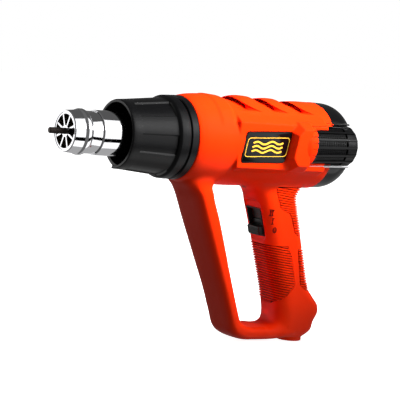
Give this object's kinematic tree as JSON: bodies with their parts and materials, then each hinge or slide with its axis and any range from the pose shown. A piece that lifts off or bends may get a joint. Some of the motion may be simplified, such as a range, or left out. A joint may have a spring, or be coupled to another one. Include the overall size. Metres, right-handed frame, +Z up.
{
  "type": "heat gun",
  "caption": "Corded hot-air gun with a closed D-shaped handle, chromed spoked nozzle in a black heat guard, side temperature dial, slide switch and domed rear cap.",
  "frame": {"origin": "middle of the underside of the bounding box; the cord boss under the grip touches this plane", "axes": "+X along the barrel from the nozzle to the rear cap, +Y to the tool's right side, +Z up"},
  "size_m": [0.2763, 0.0806, 0.1962],
  "materials": {
    "red_abs": "satin moulded ABS",
    "black_plastic": "satin",
    "gloss_black_plastic": "gloss",
    "chrome": "polished",
    "steel": "plain",
    "oxidised_steel": "heat-darkened",
    "gold_print": "metallic print",
    "mica": "matt sheet",
    "ceramic": "matt",
    "brass": "plain",
    "circuit_board": "solder mask"
  },
  "bodies": {
    "housing": {"left_housing_shell": "red_abs", "right_housing_shell": "red_abs", "cord_boss": "red_abs", "front_collar": "black_plastic", "switch_body": "black_plastic", "fan_shroud": "black_plastic", "tube_mount_ring": "black_plastic", "motor_bracket": "black_plastic", "motor_end_cap": "black_plastic", "capacitor": "black_plastic", "cord_clamp": "black_plastic", "nameplate": "black_plastic", "rear_cap": "gloss_black_plastic", "nozzle_tube": "chrome", "nozzle_tip": "chrome", "nozzle_spider": "chrome", "heating_coil": "steel", "motor_can": "steel", "thermal_cutout": "steel", "potentiometer": "steel", "heat_sink": "steel", "housing_screw_1": "steel", "housing_screw_2": "steel", "housing_screw_3": "steel", "housing_screw_4": "steel", "housing_screw_5": "steel", "housing_screw_6": "steel", "centre_rod": "oxidised_steel", "badge_trim": "gold_print", "mica_liner": "mica", "element_core": "mica", "element_base": "ceramic", "terminal_block": "ceramic", "front_bush": "brass", "rear_bush": "brass", "control_board": "circuit_board"},
    "rotor": {"motor_shaft": "steel", "armature": "steel", "commutator": "brass", "fan_impeller": "black_plastic"},
    "dial": {"temperature_dial": "black_plastic", "potentiometer_shaft": "steel"},
    "slider": {"slide_button": "black_plastic", "switch_carrier": "black_plastic"}
  },
  "joints": [
    {"name": "fan_spin", "type": "hinge", "parent": "housing", "child": "rotor", "pos_m": [0.00815, 0.0042, 0.1601], "axis": [1, 0, 0], "continuous": true},
    {"name": "temperature_turn", "type": "hinge", "parent": "housing", "child": "dial", "pos_m": [0.07915, -0.0212, 0.1615], "axis": [0.9996, 0, 0.0279], "range_deg": [0, 280]},
    {"name": "switch_slide", "type": "slide", "parent": "housing", "child": "slider", "axis": [-0.319, 0, 0.9478], "range_m": [0, 0.0134]}
  ]
}
